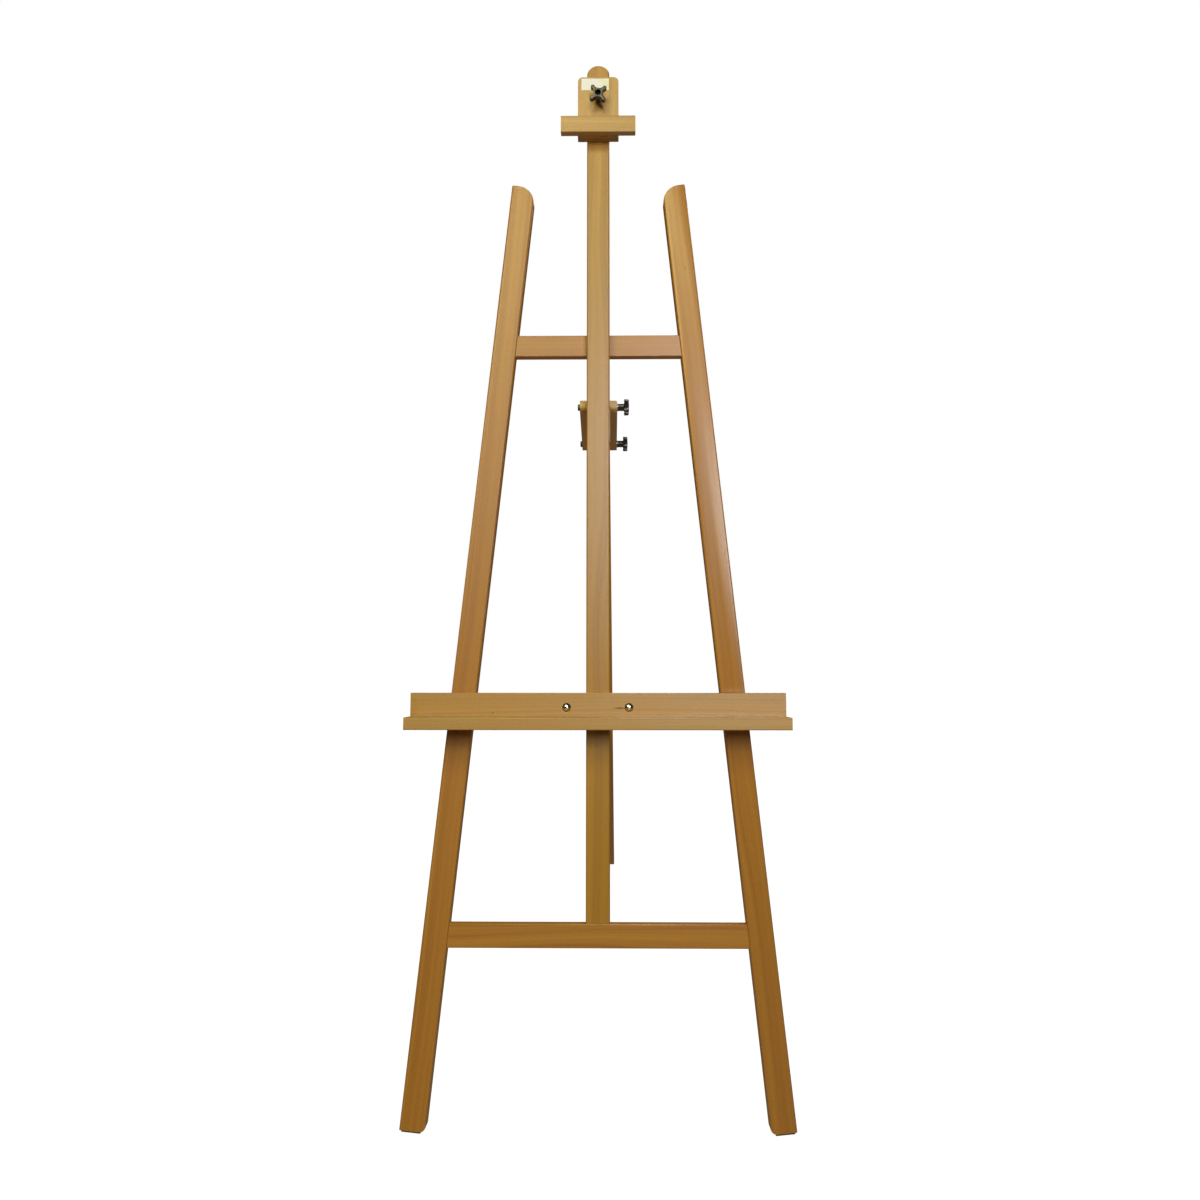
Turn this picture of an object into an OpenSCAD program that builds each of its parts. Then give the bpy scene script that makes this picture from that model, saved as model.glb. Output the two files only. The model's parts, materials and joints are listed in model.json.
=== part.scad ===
// Beech studio easel: two splayed front legs joined by two crossbars, a centre mast,
// a sliding canvas tray, a sliding top holder and a folding rear leg on two link arms.
// Millimetres. +Z is up, +X is to the painter's right, the easel faces -Y.
// The origin is on the floor, under the middle of the overall footprint.

/* [Front frame] */
// Lean of the front frame from the vertical, in degrees
lean = 17; // [12:0.5:20]
// Height of the leg tops, measured up the leaning frame
frame_h = 1451; // [1300:1:1600]
// Half the distance between the leg centrelines at the feet
foot_half = 268; // [230:1:320]
// Half the distance between the leg centrelines at the leg tops
top_half = 122; // [100:0.5:160]
// Width of a front leg
leg_w = 38; // [34:1:50]
// Thickness of a front leg
leg_d = 20; // [18:1:30]
// Rounding of a leg's long edges
leg_edge_r = 2.5; // [1:0.5:4]
// Radius of the inner corner at the top of a leg
leg_top_r = 28; // [10:1:30]
// Radius of the inner corner at the foot of a leg
leg_foot_r = 9; // [4:1:15]

/* [Crossbars] */
// Top edge of the lower crossbar, up the frame
lower_bar_top = 288; // [240:1:360]
// Top edge of the upper crossbar, up the frame
upper_bar_top = 1195; // [1100:1:1250]
// Height of a crossbar
bar_h = 35; // [28:1:45]
// Thickness of a crossbar
bar_d = 14; // [12:1:18]
// Diameter of the joint dowels
dowel_dia = 8; // [6:1:8]
// Length of the joint dowels
dowel_len = 34; // [24:1:36]

/* [Mast] */
// Length of the mast above the lower crossbar
mast_len = 1350; // [1250:1:1500]
// Width of the mast
mast_w = 36; // [30:1:44]
// Thickness of the mast
mast_d = 20; // [18:1:25]
// Rounding of the mast's long edges
mast_edge_r = 2; // [1:0.5:4]
// Radius of the mast's round tip
mast_tip_r = 18.6; // [18.1:0.1:24]

/* [Canvas tray] */
// Length of the tray
tray_w = 561; // [450:1:700]
// Height of the tray's back board
tray_h = 53; // [50:1:60]
// Thickness of the tray's back board
board_d = 16; // [12:1:20]
// Depth of the ledge in front of the board
ledge_d = 44; // [25:1:60]
// Thickness of the ledge
ledge_h = 18; // [12:1:22]
// Underside of the tray above the lower crossbar, along the mast
tray_z = 286.5; // [260:0.5:320]
// Half the distance between the two tray bolts
tray_bolt_half = 46.6; // [42:0.2:60]
// Length of the clamp strip behind the mast
strip_w = 128; // [118:1:150]
// Thickness of the clamp strip
strip_d = 15; // [12:1:18]

/* [Top holder] */
// Width of the holder's front plate
plate_w = 65; // [60:1:80]
// Height of the holder's front plate
plate_h = 101.5; // [95:0.5:110]
// Thickness of the holder's front plate
plate_d = 13; // [11:1:16]
// Underside of the plate above the lower crossbar, along the mast
plate_z = 1219.5; // [1150:0.5:1228]
// Length of the holder's bar
holder_bar_w = 118; // [90:1:150]
// Height of the holder's bar
holder_bar_h = 27.5; // [18:0.5:30]
// Thickness of the holder's bar
holder_bar_d = 12; // [9:1:20]

/* [Rear leg and link arms] */
// Distance between an arm's two pivots
arm_len = 130; // [110:1:145]
// Slope of the arms below the horizontal, in degrees
arm_slope = 27; // [15:1:35]
// Width of an arm
arm_w = 22; // [20:1:26]
// Thickness of an arm
arm_t = 12; // [8:1:14]
// Upper pivot above the lower crossbar, along the mast
pivot_z = 800; // [760:1:820]
// Upper pivot behind the mast's back face
pivot_back = 36; // [33:1:42]
// Lean of the rear leg from the vertical, in degrees
rear_lean = 20.5; // [16:0.5:24]
// Width of the rear leg
rear_w = 36; // [34:1:44]
// Thickness of the rear leg
rear_d = 22; // [20:1:24]
// Sideways lean of the rear leg, its foot to the right, in degrees
rear_skew = 0.5; // [0:0.1:0.6]

/* [Knobs and bolts] */
// Reach of a knob's lobes from its axis
knob_r = 16.5; // [15:0.5:17]
// Radius of a lobe's round end
lobe_r = 3; // [2.5:0.5:3.5]
// Radius of a knob's waist, between its lobes
waist_r = 7.4; // [7.4:0.1:8]
// Thickness of a knob's head
knob_head = 7.4; // [6:0.2:8]
// Length of a knob's neck
knob_neck = 10; // [8:0.5:14]
// Radius of a knob's neck
neck_r = 5.75; // [5.25:0.25:6]
// Diameter of the pivot bolts and the holder's clamp screw
bolt_dia = 6; // [6:1:6]
// Diameter of the tray's carriage bolts
tray_bolt_dia = 5; // [5:1:6]

/* [Hidden] */
$fn = 48;

e = 0.1;                 // overshoot of a cutting shape
slide_gap = 0.3;         // gap between the mast and what slides on it
side_gap = 0.2;          // gap between the arms and what turns between them
run_gap = 0.05;          // radial clearance of a turning fit
free_gap = 0.2;          // radial clearance of a bolt in its own arm or board
BEECH = "burlywood";
STEEL = "lightgray";
BLACK = "#1a1a1a";

// Angles and joints of the front frame
splay = atan((foot_half - top_half) / frame_h);
mast_tilt = atan(mast_d / (upper_bar_top - lower_bar_top));
leg_s0 = -leg_w / 2 * sin(splay);
leg_len = (frame_h - leg_w / 2 * sin(splay) - leg_s0) / cos(splay);
bolt_r = bolt_dia / 2;
tray_bolt_r = tray_bolt_dia / 2;

// Foot pads: the wood is cut square, and the soft pad is worn level with the floor
pad_t = 3;
pad_worn = 1.5;
pad_in = 12;
pad_out = 16;
pad_inset = 3;
pad_low_s = leg_s0 - pad_t * cos(splay) - pad_in * sin(splay);
lift = -(pad_low_s * cos(lean) - (leg_d - pad_inset) * sin(lean)) - pad_worn;
rear_pad_half = rear_d / 2 - pad_inset;
rear_cut_z = rear_pad_half * sin(rear_lean) + pad_t * cos(rear_lean) - pad_worn;

// A point given by its depth behind the mast's front face and its height up the mast,
// as [depth behind the frame's front plane, height up the frame]
function frame_at(y, z) = [
    y * cos(mast_tilt) - z * sin(mast_tilt),
    lower_bar_top + y * sin(mast_tilt) + z * cos(mast_tilt)];
// The same point upright, as [y, z] with the front plane meeting y = 0 at the feet
function upright(p) = [
    p[1] * sin(lean) + p[0] * cos(lean),
    lift + p[1] * cos(lean) - p[0] * sin(lean)];

pivot_y = mast_d + pivot_back;
upper_pivot = upright(frame_at(pivot_y, pivot_z));
lower_pivot = upper_pivot + arm_len * [cos(arm_slope), -sin(arm_slope)];
rear_len = (lower_pivot[1] - rear_cut_z) / cos(rear_lean);
front_y = (leg_s0 - (leg_w / 2 - leg_foot_r) * sin(splay)
    - leg_foot_r * (1 - cos(splay))) * sin(lean);
back_y = lower_pivot[0] + rear_len * sin(rear_lean) + rear_d / 2 * cos(rear_lean);
shift_y = -(front_y + back_y) / 2;

arm_in = rear_w / 2 + side_gap;
arm_out = arm_in + arm_t;
washer_t = 1.2;
washer_r = 6.2;

// Knobs: a raised rim round a blind hole in the hub, and a metal bush in the neck
knob_h = knob_neck + knob_head;
rim_r = 6.8;
rim_h = 0.4;
hub_hole_r = 4.6;
hub_hole_d = 5;
bush_r = 4;
bush_len = 11;

board_y = -slide_gap - board_d;
strip_y = mast_d + slide_gap;
tray_bolt_z = tray_z + 31.3;
strip_h = 40;

plate_y = -slide_gap - plate_d;
plate_corner_r = 8;
holder_bar_z = plate_z + 1.2;
guide_z = plate_z + 22;
guide_h = plate_h - 28;
back_plate_d = 8;
back_plate_y = mast_d + slide_gap;
clamp_z = plate_z + 62.3;
clamp_gap = 2;
clamp_turn = -6;         // where the clamp knob stops when it is tight
label_w = 44;
label_h = 19.6;
label_t = 0.2;
label_x = -26.9;
label_z = plate_z + 79.4;

// ---- Frames of reference ----

module on_frame() {
    translate([0, shift_y, lift]) rotate([-lean, 0, 0]) children();
}

module on_mast() {
    on_frame() translate([0, 0, lower_bar_top]) rotate([mast_tilt, 0, 0]) children();
}

// Right front leg: X outwards across the leg, Z up its length from the foot
module on_right_leg() {
    on_frame() translate([foot_half, 0, leg_s0]) rotate([0, -splay, 0]) children();
}

// Link arms: Y from the upper pivot to the lower pivot
module on_arms() {
    translate([0, shift_y + upper_pivot[0], upper_pivot[1]])
        rotate([-arm_slope, 0, 0]) children();
}

// Rear leg's pivot: Z up the plane in which the leg folds
module on_lower_pivot() {
    translate([0, shift_y + lower_pivot[0], lower_pivot[1]])
        rotate([rear_lean, 0, 0]) children();
}

// Rear leg: Z up its length
module on_rear_leg() {
    on_lower_pivot() rotate([0, -rear_skew, 0]) children();
}

// ---- Shared shapes ----

// Rectangle with round corners, centred on X, its lower edge on Y = 0
module round_rect(w, h, r) {
    translate([-w / 2 + r, 0]) square([w - 2 * r, h]);
    translate([-w / 2, r]) square([w, h - 2 * r]);
    for (x = [-w / 2 + r, w / 2 - r], y = [r, h - r])
        translate([x, y]) circle(r);
}

// Upright bar with round long edges, its front face on Y = 0
module upright_bar(w, d, h, r) {
    linear_extrude(h) round_rect(w, d, r);
}

// Level bar along X with round long edges, front face on Y = 0, underside on Z = 0
module level_bar(w, d, h, r) {
    translate([-w / 2, 0, 0]) rotate([90, 0, 90]) linear_extrude(w)
        translate([d / 2, 0]) round_rect(d, h, r);
}

// Outline drawn in X and Z, given thickness d from Y = y
module across(y, d) {
    translate([0, y + d, 0]) rotate([90, 0, 0]) linear_extrude(d) children();
}

// Outline drawn in Y and Z, given width w from X = x
module sideways(x, w) {
    translate([x, 0, 0]) rotate([90, 0, 90]) linear_extrude(w) children();
}

// Everything near the floor that is above it
module above_floor() {
    translate([-2 * foot_half, -frame_h, 0]) cube([4 * foot_half, 2 * frame_h, 100]);
}

// What is cut away to round a lower-left corner at the origin
module corner_cut(r) {
    difference() {
        translate([-1, -1]) square([r + 1, r + 1]);
        translate([r, r]) circle(r);
    }
}

// Hole along +Y, or along -Y with a negative length
module hole_y(x, y, z, r, len) {
    translate([x, y, z]) rotate([-90, 0, 0])
        translate([0, 0, min(0, len)]) cylinder(r = r, h = abs(len));
}

// Countersunk wood screw: head in the plane Z = 0, shank down -Z
module wood_screw(r, len) {
    head_r = 2 * r;
    tip = 2 * r;
    tip_r = 0.4;
    slot_l = 1.4 * head_r;
    slot_w = 0.7;
    slot_d = 0.9;
    difference() {
        union() {
            translate([0, 0, -r]) cylinder(r1 = r, r2 = head_r, h = r);
            translate([0, 0, tip - len]) cylinder(r = r, h = len - tip - r);
            translate([0, 0, -len]) cylinder(r1 = tip_r, r2 = r, h = tip);
        }
        for (a = [0, 90])
            rotate(a) translate([-slot_l / 2, -slot_w / 2, -slot_d])
                cube([slot_l, slot_w, slot_d + e]);
    }
}

// The room that a wood screw takes
module screw_hole(r, len) {
    translate([0, 0, -len]) cylinder(r = r, h = len);
    translate([0, 0, -r]) cylinder(r1 = r, r2 = 2 * r, h = r);
    translate([0, 0, -e / 10]) cylinder(r = 2 * r, h = 1);
}

// A screw driven forwards, its head in the plane Y = y
module driven_forward(x, y, z) {
    translate([x, y, z]) rotate([-90, 0, 0]) children();
}

module washer(r, bore) {
    difference() {
        cylinder(r = r, h = washer_t);
        translate([0, 0, -e]) cylinder(r = bore, h = washer_t + 2 * e);
    }
}

// Outline of a knob's head: round lobes on the diagonals, with a round scoop between each two
module knob_outline() {
    diagonal = (knob_r - lobe_r) / sqrt(2);
    hollow = waist_r - lobe_r;
    scoop_at = (2 * diagonal * diagonal - hollow * hollow) / (2 * (diagonal - hollow));
    scoop_r = scoop_at - waist_r;
    // Corners of the core, just inside each lobe on its way to the scoops beside it
    inset = 0.6 * lobe_r / (lobe_r + scoop_r);
    near = diagonal + (scoop_at - diagonal) * inset;
    far = diagonal * (1 - inset);
    difference() {
        polygon([for (turn = [0:90:270], side = [-1, 1])
            [near * cos(turn) - side * far * sin(turn), near * sin(turn) + side * far * cos(turn)]]);
        for (turn = [0:90:270]) rotate(turn) translate([scoop_at, 0]) circle(scoop_r);
    }
    for (turn = [45:90:315]) rotate(turn) translate([knob_r - lobe_r, 0]) circle(lobe_r);
}

// Four-lobed knob: its neck starts at Z = 0 and its head faces +Z
module star_knob(pocket_r, pocket_d) {
    difference() {
        union() {
            cylinder(r = neck_r, h = knob_neck + e);
            translate([0, 0, knob_neck]) linear_extrude(knob_head) knob_outline();
            translate([0, 0, knob_h - e]) cylinder(r = rim_r, h = rim_h + e);
        }
        translate([0, 0, knob_h - hub_hole_d]) cylinder(r = hub_hole_r, h = hub_hole_d + 2 * rim_h);
        translate([0, 0, -e]) cylinder(r = pocket_r, h = pocket_d + e);
    }
}

// Threaded metal bush moulded into a knob
module knob_bush(outer_r, bore, len) {
    difference() {
        cylinder(r = outer_r, h = len);
        translate([0, 0, -e]) cylinder(r = bore, h = len + 2 * e);
    }
}

// ---- Front frame ----

leg_outer_r = 1.5;
dowel_dz = [9, 26];      // below a crossbar's top edge

// Outline of a right leg seen from the front, its inner side on the left
module leg_outline() {
    difference() {
        translate([-leg_w / 2, 0]) square([leg_w, leg_len]);
        translate([-leg_w / 2, 0]) corner_cut(leg_foot_r);
        translate([-leg_w / 2, leg_len]) mirror([0, 1]) corner_cut(leg_top_r);
        translate([leg_w / 2, leg_len]) mirror([0, 1]) mirror([1, 0]) corner_cut(leg_outer_r);
    }
}

module right_leg_shape() {
    difference() {
        on_right_leg() intersection() {
            upright_bar(leg_w, leg_d, leg_len, leg_edge_r);
            across(-1, leg_d + 2) leg_outline();
        }
        crossbar_dowels();
    }
}

module right_leg() {
    color(BEECH) right_leg_shape();
}

module left_leg() {
    color(BEECH) mirror([1, 0, 0]) right_leg_shape();
}

// Half the clear width between the legs at height s up the frame
function half_gap(s) = foot_half - s * tan(splay) - leg_w / 2 / cos(splay)
    + leg_s0 * tan(splay);

module crossbar(top) {
    low = top - bar_h;
    difference() {
        on_frame() intersection() {
            translate([0, 0, low]) level_bar(2 * half_gap(low) + 2, bar_d, bar_h, 1.5);
            across(-1, bar_d + 2) polygon([
                [-half_gap(low), low], [half_gap(low), low],
                [half_gap(top), top], [-half_gap(top), top]]);
        }
        crossbar_dowels();
    }
}

module upper_crossbar() {
    color(BEECH) difference() {
        crossbar(upper_bar_top);
        mast_screw_places() screw_hole(mast_screw_r, mast_screw_len);
    }
}

module lower_crossbar() {
    color(BEECH) difference() {
        crossbar(lower_bar_top);
        mast_dowel();
    }
}

// Two dowels at each end of each crossbar
module crossbar_dowels() {
    color(BEECH) on_frame() for (top = [lower_bar_top, upper_bar_top], dz = dowel_dz)
        for (side = [-1, 1])
            translate([side * half_gap(top - dz) - dowel_len / 2, bar_d / 2, top - dz])
                rotate([0, 90, 0]) cylinder(r = dowel_dia / 2, h = dowel_len);
}

module mast_dowel() {
    color(BEECH) on_frame()
        translate([0, bar_d / 2, lower_bar_top - dowel_len * 0.7])
            cylinder(r = dowel_dia / 2, h = dowel_len * 1.7);
}

mast_screw_r = 2;
mast_screw_len = 29;

module mast_screw_places() {
    on_frame() for (dz = dowel_dz)
        driven_forward(0, bar_d, upper_bar_top - dz) children();
}

module mast_screws() {
    color(STEEL) mast_screw_places() wood_screw(mast_screw_r, mast_screw_len);
}

module mast_outline() {
    intersection() {
        translate([-mast_w / 2, -2]) square([mast_w, mast_len + 2]);
        union() {
            translate([-mast_w, -2]) square([2 * mast_w, mast_len - mast_tip_r + 2]);
            translate([0, mast_len - mast_tip_r]) circle(mast_tip_r);
        }
    }
}

// The mast stands on the lower crossbar and is let into the upper one's front
module mast() {
    color(BEECH) difference() {
        on_mast() intersection() {
            translate([0, 0, -2]) upright_bar(mast_w, mast_d, mast_len + 2, mast_edge_r);
            across(-1, mast_d + 2) mast_outline();
        }
        on_frame() {
            translate([-mast_w, -5, lower_bar_top - 20]) cube([2 * mast_w, 50, 20]);
            translate([-mast_w, 0, upper_bar_top - bar_h]) cube([2 * mast_w, 50, bar_h]);
        }
        mast_dowel();
        mast_screw_places() screw_hole(mast_screw_r, mast_screw_len);
        hinge_screw_places() screw_hole(hinge_screw_r, hinge_screw_len);
    }
}

module right_pad_shape() {
    intersection() {
        on_right_leg() translate([-pad_in, pad_inset, -pad_t])
            cube([pad_in + pad_out, leg_d - 2 * pad_inset, pad_t]);
        above_floor();
    }
}

module right_foot_pad() {
    color(BLACK) right_pad_shape();
}

module left_foot_pad() {
    color(BLACK) mirror([1, 0, 0]) right_pad_shape();
}

// ---- Rear leg and its link arms ----

hinge_screw_r = 2.25;
hinge_screw_len = 29;
hinge_screw_x = 10;
hinge_low_d = 14;        // thickness of the block at its lower end
hinge_seat_y = mast_d + hinge_low_d;
hinge_low_z = pivot_z - 38;
hinge_screw_z = hinge_low_z + 10;
driver_r = 5;            // way in for a screwdriver

module hinge_screw_places() {
    on_mast() for (x = [-1, 1] * hinge_screw_x)
        driven_forward(x, hinge_seat_y, hinge_screw_z) children();
}

// Block glued and screwed to the mast's back, with the upper pivot through its nose
module hinge_block() {
    r = arm_w / 2 - 0.5;
    color(BEECH) difference() {
        on_mast() difference() {
            sideways(-rear_w / 2, rear_w) {
                translate([pivot_y, pivot_z]) circle(r);
                polygon([[mast_d, hinge_low_z], [hinge_seat_y, hinge_low_z],
                    [pivot_y + r * sin(45), pivot_z - r * cos(45)],
                    [pivot_y, pivot_z + r], [mast_d, pivot_z + r]]);
            }
            translate([-rear_w, pivot_y, pivot_z]) rotate([0, 90, 0])
                cylinder(r = bolt_r + run_gap, h = 2 * rear_w);
            for (x = [-1, 1] * hinge_screw_x)
                hole_y(x, hinge_seat_y, hinge_screw_z, driver_r, 2 * pivot_back);
        }
        hinge_screw_places() screw_hole(hinge_screw_r, hinge_screw_len);
    }
}

module hinge_block_screws() {
    color(STEEL) hinge_screw_places() wood_screw(hinge_screw_r, hinge_screw_len);
}

module arm(x) {
    color(BEECH) on_arms() sideways(x, arm_t) difference() {
        union() {
            translate([0, -arm_w / 2]) square([arm_len, arm_w]);
            for (y = [0, arm_len]) translate([y, 0]) circle(arm_w / 2);
        }
        for (y = [0, arm_len]) translate([y, 0]) circle(bolt_r + free_gap);
    }
}

module left_arm() {
    arm(-arm_out);
}

module right_arm() {
    arm(arm_in);
}

// A place on a pivot's axis, Z pointing to the right
module on_pivot(y, x) {
    on_arms() translate([x, y, 0]) rotate([0, 90, 0]) children();
}

pivot_bolt_len = 2 * arm_out + washer_t + bush_len - 1;
hex_r = 5;               // half the distance across the flats
hex_h = 3.6;

// Hex-headed bolt; a cone takes off the corners of its head
module pivot_bolt(y) {
    color(STEEL) on_pivot(y, -arm_out) {
        cylinder(r = bolt_r, h = pivot_bolt_len);
        translate([0, 0, -hex_h]) intersection() {
            cylinder(r = hex_r / cos(30), h = hex_h, $fn = 6);
            cylinder(r1 = 0.98 * hex_r, r2 = 1.8 * hex_r, h = 1.2 * hex_r);
        }
    }
}

module upper_pivot_bolt() {
    pivot_bolt(0);
}

module lower_pivot_bolt() {
    pivot_bolt(arm_len);
}

module pivot_washers() {
    color(STEEL) for (y = [0, arm_len])
        on_pivot(y, arm_out) washer(washer_r, bolt_r + free_gap);
}

// Knob on a pivot bolt, turned so that its lobes stand at 45 degrees to the floor
module arm_knob(y) {
    color(BLACK) on_pivot(y, arm_out + washer_t) rotate(arm_slope)
        star_knob(bush_r, bush_len);
}

module arm_knob_insert(y) {
    color(STEEL) on_pivot(y, arm_out + washer_t)
        knob_bush(bush_r, bolt_r + run_gap, bush_len);
}

module upper_arm_knob() {
    arm_knob(0);
}

module upper_knob_insert() {
    arm_knob_insert(0);
}

module lower_arm_knob() {
    arm_knob(arm_len);
}

module lower_knob_insert() {
    arm_knob_insert(arm_len);
}

// Square-cut at the foot, round at the top, where it turns between the arms
module rear_leg() {
    top = 4;
    r = rear_d / 2;
    color(BEECH) difference() {
        on_rear_leg() intersection() {
            translate([0, -r, -rear_len])
                upright_bar(rear_w, rear_d, rear_len + top + r, leg_edge_r);
            sideways(-rear_w, 2 * rear_w) {
                translate([-r, -rear_len]) square([rear_d, rear_len + top]);
                translate([0, top]) circle(r);
            }
        }
        on_lower_pivot() translate([-rear_w, 0, 0]) rotate([0, 90, 0])
            cylinder(r = bolt_r + run_gap, h = 2 * rear_w);
    }
}

module rear_foot_pad() {
    half_w = rear_w / 2 - pad_inset;
    color(BLACK) intersection() {
        on_rear_leg() translate([-half_w, -rear_pad_half, -rear_len - pad_t])
            cube([2 * half_w, 2 * rear_pad_half, pad_t]);
        above_floor();
    }
}

// ---- Canvas tray ----

tray_screw_r = 1.9;
tray_screw_len = 36;

module tray_screw_places() {
    on_mast() for (x = [-0.42, -0.16, 0.16, 0.42] * tray_w)
        driven_forward(x, -slide_gap, tray_z + ledge_h / 2) children();
}

module tray_screws() {
    color(STEEL) tray_screw_places() wood_screw(tray_screw_r, tray_screw_len);
}

// The board's square seats stop the bolts from turning
module tray_board() {
    neck = 2 * (tray_bolt_r + free_gap);
    color(BEECH) difference() {
        on_mast() difference() {
            translate([0, board_y, tray_z]) level_bar(tray_w, board_d, tray_h, 1);
            for (x = [-1, 1] * tray_bolt_half) {
                hole_y(x, board_y - 1, tray_bolt_z, tray_bolt_r + free_gap, board_d + 2);
                translate([x - neck / 2, board_y - 1, tray_bolt_z - neck / 2])
                    cube([neck, bolt_neck_h + 2, neck]);
            }
        }
        tray_screw_places() screw_hole(tray_screw_r, tray_screw_len);
    }
}

module tray_ledge() {
    color(BEECH) difference() {
        on_mast() translate([0, board_y - ledge_d, tray_z])
            level_bar(tray_w, ledge_d, ledge_h, 1.5);
        tray_screw_places() screw_hole(tray_screw_r, tray_screw_len);
    }
}

module tray_clamp_strip() {
    color(BEECH) on_mast() difference() {
        translate([0, strip_y, tray_bolt_z - strip_h / 2])
            level_bar(strip_w, strip_d, strip_h, 2);
        for (x = [-1, 1] * tray_bolt_half)
            hole_y(x, strip_y - 1, tray_bolt_z, tray_bolt_r + free_gap, strip_d + 2);
    }
}

tray_knob_y = strip_y + strip_d + washer_t;

bolt_neck_h = 3.5;

// Domed head, square neck and shank
module carriage_bolt(r, len) {
    head_r = 2.7 * r;
    head_h = 1.3 * r;
    dome_r = (head_r * head_r + head_h * head_h) / (2 * head_h);
    intersection() {
        translate([0, 0, head_h - dome_r]) sphere(dome_r);
        cylinder(r = head_r, h = head_h + 1);
    }
    translate([-r, -r, -bolt_neck_h]) cube([2 * r, 2 * r, bolt_neck_h]);
    translate([0, 0, -len]) cylinder(r = r, h = len);
}

module tray_bolts() {
    color(STEEL) on_mast() for (x = [-1, 1] * tray_bolt_half)
        translate([x, board_y, tray_bolt_z]) rotate([90, 0, 0])
            carriage_bolt(tray_bolt_r, tray_knob_y - board_y + bush_len - 1);
}

// A place on a tray bolt's axis, Z pointing backwards
module on_tray_bolt(side, y) {
    on_mast() translate([side * tray_bolt_half, y, tray_bolt_z])
        rotate([-90, 0, 0]) children();
}

module tray_washers() {
    color(STEEL) for (side = [-1, 1])
        on_tray_bolt(side, strip_y + strip_d) washer(washer_r, tray_bolt_r + free_gap);
}

module tray_knob(side) {
    color(BLACK) on_tray_bolt(side, tray_knob_y) star_knob(bush_r, bush_len);
}

module tray_knob_insert(side) {
    color(STEEL) on_tray_bolt(side, tray_knob_y)
        knob_bush(bush_r, tray_bolt_r + run_gap, bush_len);
}

module left_tray_knob() {
    tray_knob(-1);
}

module left_tray_knob_insert() {
    tray_knob_insert(-1);
}

module right_tray_knob() {
    tray_knob(1);
}

module right_tray_knob_insert() {
    tray_knob_insert(1);
}

// ---- Top holder ----

holder_screw_r = 1.75;
holder_screw_len = 20;
back_screw_len = 36;
insert_r = 4.5;
guide_in = mast_w / 2 + slide_gap;
guide_w = plate_w / 2 - guide_in;
guide_x = guide_in + guide_w / 2;
back_screw_in = 14;      // from a guide's end

// Through the plate from behind, into the bar
module bar_screw_places() {
    on_mast() for (x = [-1, 1] * guide_x)
        driven_forward(x, -slide_gap, holder_bar_z + holder_bar_h / 2) children();
}

// Through the back plate and a guide, into the front plate
module back_screw_places() {
    on_mast() for (x = [-1, 1] * guide_x, z = [back_screw_in, guide_h - back_screw_in])
        driven_forward(x, back_plate_y + back_plate_d, guide_z + z) children();
}

module holder_plate() {
    color(BEECH) difference() {
        on_mast() difference() {
            across(plate_y, plate_d) difference() {
                translate([-plate_w / 2, plate_z]) square([plate_w, plate_h]);
                for (side = [0, 1]) mirror([side, 0])
                    translate([-plate_w / 2, plate_z + plate_h]) mirror([0, 1])
                        corner_cut(plate_corner_r);
            }
            hole_y(0, plate_y - 1, clamp_z, insert_r, plate_d + 2);
        }
        bar_screw_places() screw_hole(holder_screw_r, holder_screw_len);
        back_screw_places() screw_hole(holder_screw_r, back_screw_len);
    }
}

module holder_bar() {
    color(BEECH) difference() {
        on_mast() translate([0, plate_y - holder_bar_d, holder_bar_z])
            level_bar(holder_bar_w, holder_bar_d, holder_bar_h, 1.5);
        bar_screw_places() screw_hole(holder_screw_r, holder_screw_len);
    }
}

module holder_bar_screws() {
    color(STEEL) bar_screw_places() wood_screw(holder_screw_r, holder_screw_len);
}

module holder_guides() {
    color(BEECH) difference() {
        on_mast() for (side = [0, 1]) mirror([side, 0, 0])
            translate([guide_in, -slide_gap, guide_z])
                cube([guide_w, back_plate_y + slide_gap, guide_h]);
        back_screw_places() screw_hole(holder_screw_r, back_screw_len);
    }
}

module holder_back_plate() {
    color(BEECH) difference() {
        on_mast() across(back_plate_y, back_plate_d)
            translate([-plate_w / 2, guide_z]) square([plate_w, guide_h]);
        back_screw_places() screw_hole(holder_screw_r, back_screw_len);
    }
}

module holder_back_screws() {
    color(STEEL) back_screw_places() wood_screw(holder_screw_r, back_screw_len);
}

// A place on the clamp screw's axis, Z pointing forwards
module on_clamp(y) {
    on_mast() translate([0, y, clamp_z]) rotate([90, 0, 0]) children();
}

module holder_insert() {
    color("goldenrod") on_clamp(-slide_gap)
        knob_bush(insert_r, bolt_r + run_gap, plate_d);
}

// Blank paper label on the plate
module holder_label() {
    color("cornsilk") on_mast() translate([label_x, plate_y - label_t, label_z])
        cube([label_w, label_t, label_h]);
}

module holder_knob() {
    color(BLACK) on_clamp(plate_y - clamp_gap) rotate(clamp_turn) star_knob(bolt_r, bush_len);
}

// Stud fixed in the knob, its end bearing on the mast
module holder_clamp_screw() {
    color(STEEL) on_clamp(-0.1)
        cylinder(r = bolt_r, h = -plate_y + clamp_gap + bush_len - 0.1);
}

// ---- What is drawn ----

left_leg();
right_leg();
upper_crossbar();
lower_crossbar();
mast();
crossbar_dowels();
mast_dowel();
mast_screws();
left_foot_pad();
right_foot_pad();
hinge_block();
hinge_block_screws();
left_arm();
right_arm();
upper_pivot_bolt();
lower_pivot_bolt();
pivot_washers();
upper_arm_knob();
upper_knob_insert();
lower_arm_knob();
lower_knob_insert();
rear_leg();
rear_foot_pad();
tray_board();
tray_ledge();
tray_screws();
tray_clamp_strip();
tray_bolts();
tray_washers();
left_tray_knob();
left_tray_knob_insert();
right_tray_knob();
right_tray_knob_insert();
holder_plate();
holder_bar();
holder_bar_screws();
holder_guides();
holder_back_plate();
holder_back_screws();
holder_insert();
holder_label();
holder_knob();
holder_clamp_screw();
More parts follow.
